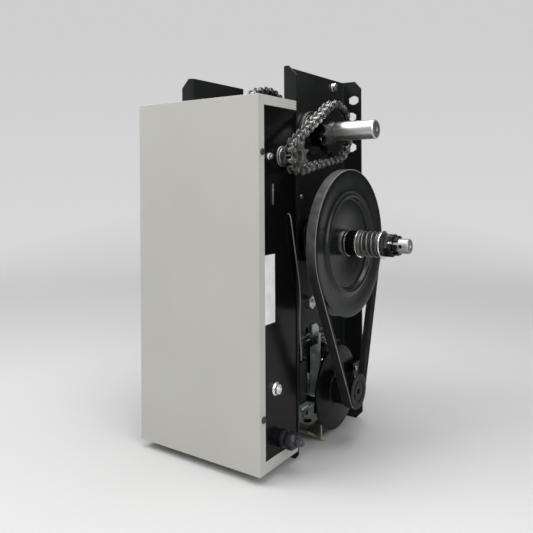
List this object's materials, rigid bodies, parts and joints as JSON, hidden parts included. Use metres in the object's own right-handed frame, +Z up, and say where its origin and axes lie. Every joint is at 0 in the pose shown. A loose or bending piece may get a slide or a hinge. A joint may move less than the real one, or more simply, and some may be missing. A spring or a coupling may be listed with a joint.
{
  "type": "roller shutter motor",
  "caption": "Belt and chain driven operator for a roller shutter, with a friction clutch, disc brake, limit box and open motor between two folded side plates.",
  "frame": {"origin": "centre of the bounding box's bottom face, on the floor", "axes": "+Z up, +Y towards the wall that the rear flanges are bolted to, +X towards the output shaft's driving end"},
  "size_m": [0.335, 0.253, 0.508],
  "materials": {
    "black_paint": "gloss black paint",
    "warm_grey_paint": "fine textured grey paint",
    "bright_zinc": "bright zinc plate",
    "yellow_zinc": "pale yellow zinc plate",
    "oiled_steel": "oiled steel",
    "cast_aluminium": "as cast aluminium",
    "rubber": "wrapped rubber",
    "dark_nylon": "moulded nylon",
    "wound_coil": "taped winding",
    "circuit_board": "solder masked laminate",
    "friction_lining": "pressed lining",
    "grey_lead": "PVC insulation"
  },
  "bodies": {
    "frame": {"side_plate_right": "black_paint", "side_plate_left": "black_paint", "tie_rod": "bright_zinc", "control_box": "black_paint", "cable_gland": "dark_nylon", "earth_stud": "bright_zinc", "limit_bushing_right": "bright_zinc", "limit_bushing_left": "bright_zinc", "component_plate": "bright_zinc", "control_board": "circuit_board", "reversing_contactor": "dark_nylon", "transformer": "oiled_steel", "limit_bracket": "bright_zinc", "limit_switch_open": "dark_nylon", "limit_switch_close": "dark_nylon", "motor_body": "black_paint", "motor_end_bell_right": "cast_aluminium", "motor_end_bell_left": "cast_aluminium", "motor_cradle": "yellow_zinc", "brake_bracket": "bright_zinc", "solenoid_frame": "bright_zinc", "solenoid_coil": "wound_coil", "brake_caliper": "black_paint", "solenoid_lead": "grey_lead", "v_belt": "rubber", "reduction_chain": "oiled_steel", "limit_chain": "oiled_steel", "cover_screw_top": "oiled_steel", "cover_screw_bottom": "oiled_steel", "output_bearing_right": "bright_zinc", "output_bearing_left": "bright_zinc", "clutch_bearing_right": "bright_zinc", "clutch_bearing_left": "bright_zinc"},
    "cover": {"front_cover": "warm_grey_paint"},
    "output_drive": {"output_shaft": "bright_zinc", "output_sprocket": "oiled_steel", "limit_sprocket_large": "black_paint"},
    "clutch_drive": {"clutch_shaft": "bright_zinc", "clutch_pulley": "black_paint", "clutch_pinion": "oiled_steel", "clutch_collar": "black_paint", "clutch_washer_inner": "bright_zinc", "clutch_spring": "bright_zinc", "clutch_washer_outer": "bright_zinc", "clutch_castle_nut": "black_paint"},
    "motor_drive": {"motor_shaft": "oiled_steel", "motor_pulley": "black_paint", "brake_disc": "black_paint"},
    "limit_drive": {"limit_shaft": "oiled_steel", "limit_sprocket_small": "oiled_steel"},
    "open_nut": {"limit_nut_open": "bright_zinc"},
    "close_nut": {"limit_nut_close": "bright_zinc"},
    "open_lever": {"switch_lever_open": "bright_zinc"},
    "close_lever": {"switch_lever_close": "bright_zinc"},
    "retainer": {"nut_retainer": "bright_zinc"},
    "plunger": {"brake_plunger": "oiled_steel"},
    "lever": {"brake_lever": "black_paint"},
    "pad": {"brake_pad": "friction_lining"}
  },
  "joints": [
    {"name": "motor_spin", "type": "hinge", "parent": "frame", "child": "motor_drive", "pos_m": [-0.0575, 0.0395, 0.0735], "axis": [1, 0, 0], "range_deg": [-14538.59, 14538.59], "deforming": ["limit_chain", "reduction_chain"]},
    {"name": "clutch_spin", "type": "hinge", "parent": "frame", "child": "clutch_drive", "pos_m": [-0.0575, 0.0225, 0.27549], "axis": [1, 0, 0], "range_deg": [-3142.32, 3142.32]},
    {"name": "output_spin", "type": "hinge", "parent": "frame", "child": "output_drive", "pos_m": [-0.0575, 0.0225, 0.425], "axis": [1, 0, 0], "range_deg": [-1080.5, 1080.5]},
    {"name": "limit_shaft_spin", "type": "hinge", "parent": "frame", "child": "limit_drive", "pos_m": [-0.0575, -0.07418, 0.38901], "axis": [1, 0, 0], "range_deg": [-2160.5, 2160.5]},
    {"name": "limit_nut_open_slide", "type": "slide", "parent": "frame", "child": "open_nut", "axis": [1, 0, 0], "range_m": [-0.01801, 0.01801]},
    {"name": "limit_nut_close_slide", "type": "slide", "parent": "frame", "child": "close_nut", "axis": [1, 0, 0], "range_m": [-0.01801, 0.01801]},
    {"name": "brake_plunger_slide", "type": "slide", "parent": "frame", "child": "plunger", "axis": [0, 0, -1], "range_m": [0, 0.006], "stiffness_N_per_m": 300, "springref_m": -0.006},
    {"name": "brake_lever_hinge", "type": "hinge", "parent": "frame", "child": "lever", "pos_m": [0.031, 0.0385, 0.1385], "axis": [1, 0, 0], "range_deg": [-0.05, 5.8]},
    {"name": "brake_pad_slide", "type": "slide", "parent": "frame", "child": "pad", "axis": [-1, 0, 0], "range_m": [-0.00001, 0.00101]},
    {"name": "cover_slide", "type": "slide", "parent": "frame", "child": "cover", "axis": [0, -1, 0], "range_m": [0, 0.12]},
    {"name": "switch_lever_open_hinge", "type": "hinge", "parent": "frame", "child": "open_lever", "pos_m": [-0.0087, -0.08953, 0.3762], "axis": [0, 1, 0], "range_deg": [0, 10], "stiffness_Nm_per_rad": 0.02, "springref_deg": -28.65},
    {"name": "switch_lever_close_hinge", "type": "hinge", "parent": "frame", "child": "close_lever", "pos_m": [-0.1063, -0.08953, 0.3762], "axis": [0, -1, 0], "range_deg": [0, 10], "stiffness_Nm_per_rad": 0.02, "springref_deg": -28.65},
    {"name": "nut_retainer_slide", "type": "slide", "parent": "frame", "child": "retainer", "axis": [0, 0, 1], "range_m": [0, 0.005], "stiffness_N_per_m": 200, "springref_m": -0.006}
  ],
  "couplings": [
    {"joint": "clutch_spin", "follows": "motor_spin", "ratio": 0.2161},
    {"joint": "output_spin", "follows": "motor_spin", "ratio": 0.074285},
    {"joint": "limit_shaft_spin", "follows": "motor_spin", "ratio": 0.14857},
    {"joint": "limit_nut_open_slide", "follows": "motor_spin", "m_per_rad": 0.000070937},
    {"joint": "limit_nut_close_slide", "follows": "motor_spin", "m_per_rad": 0.000070937},
    {"joint": "brake_lever_hinge", "follows": "brake_plunger_slide", "rad_per_m": 16.667},
    {"joint": "brake_pad_slide", "follows": "brake_plunger_slide", "ratio": 0.16667}
  ]
}
